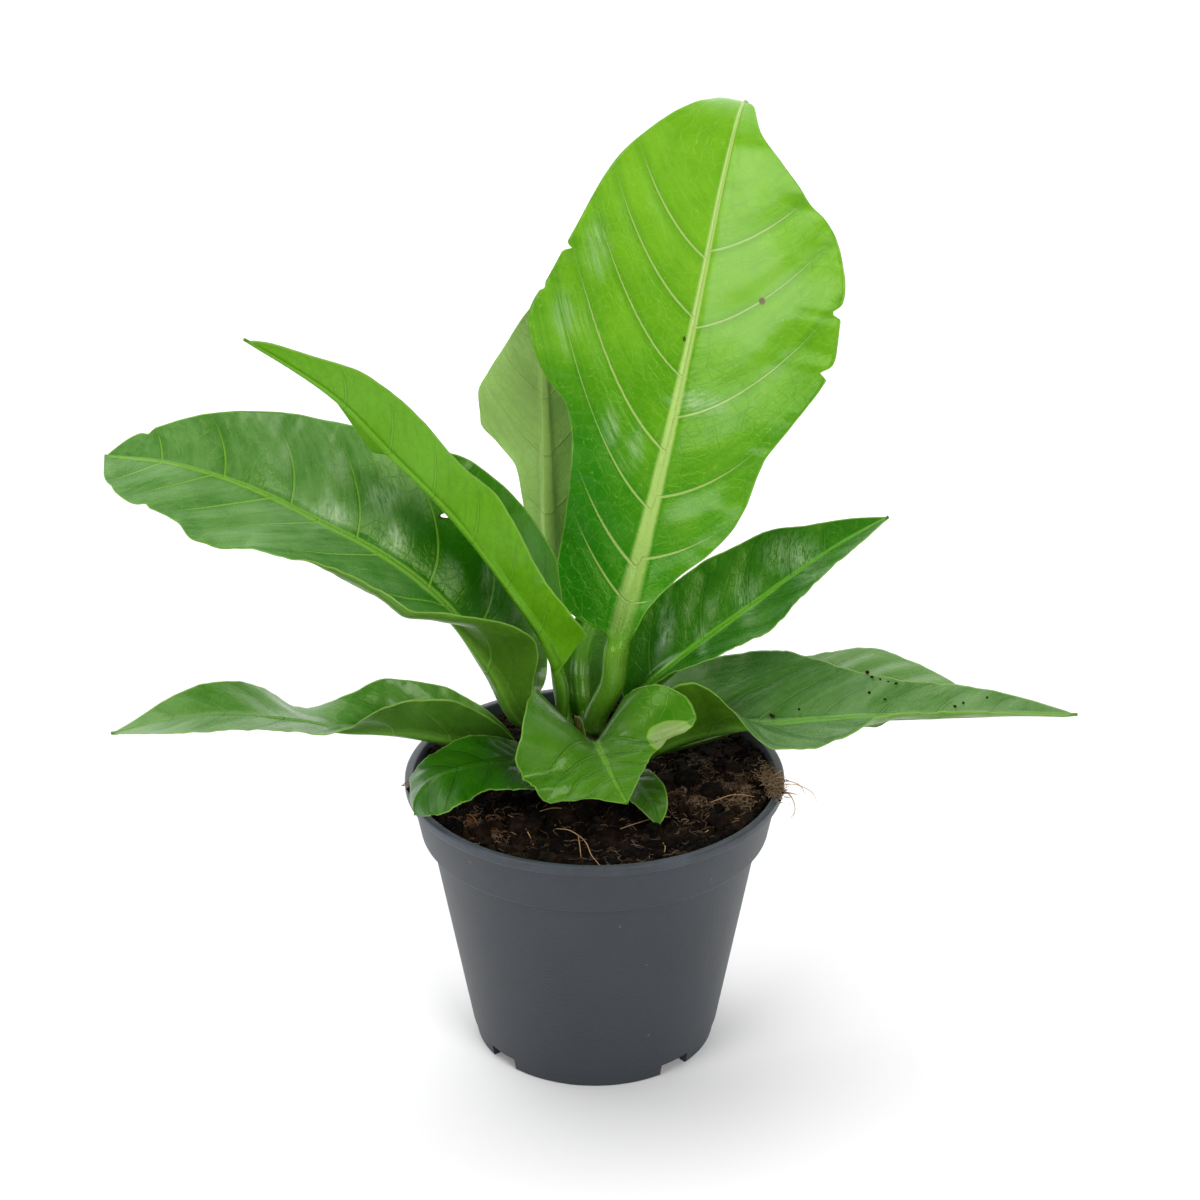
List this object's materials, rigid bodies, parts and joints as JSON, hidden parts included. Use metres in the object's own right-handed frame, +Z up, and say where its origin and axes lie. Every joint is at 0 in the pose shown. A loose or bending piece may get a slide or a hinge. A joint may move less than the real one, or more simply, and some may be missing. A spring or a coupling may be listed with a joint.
{
  "type": "potted anthurium",
  "caption": "A young bird's-nest anthurium with broad wavy green leaves on short stalks, in a grey plastic nursery pot of dark peaty soil.",
  "frame": {"origin": "the middle of the pot's base, on the surface it stands on", "axes": "+Z up along the pot's axis, -Y the front of the plant, +X to the viewer's right"},
  "size_m": [0.3012, 0.1553, 0.2894],
  "materials": {
    "pot_plastic": "dark blue-grey moulded plastic, semi-matt",
    "potting_soil": "damp dark peat with brown fibres",
    "stalk_green": "fleshy green stalk",
    "dried_bract": "dry papery tan",
    "leaf_green": "leathery, half-gloss green with pale veins and margins"
  },
  "bodies": {
    "root": {"pot": "pot_plastic", "soil": "potting_soil", "stem": "stalk_green", "dried_bract": "dried_bract", "leaf_upright": "leaf_green", "leaf_behind": "leaf_green", "leaf_left_upper": "leaf_green", "leaf_left_large": "leaf_green", "leaf_left_low": "leaf_green", "leaf_front_left": "leaf_green", "leaf_front": "leaf_green", "leaf_front_small": "leaf_green", "leaf_right_upper": "leaf_green", "leaf_right_large": "leaf_green", "leaf_right_under": "leaf_green", "leaf_back": "leaf_green"}
  },
  "joints": []
}
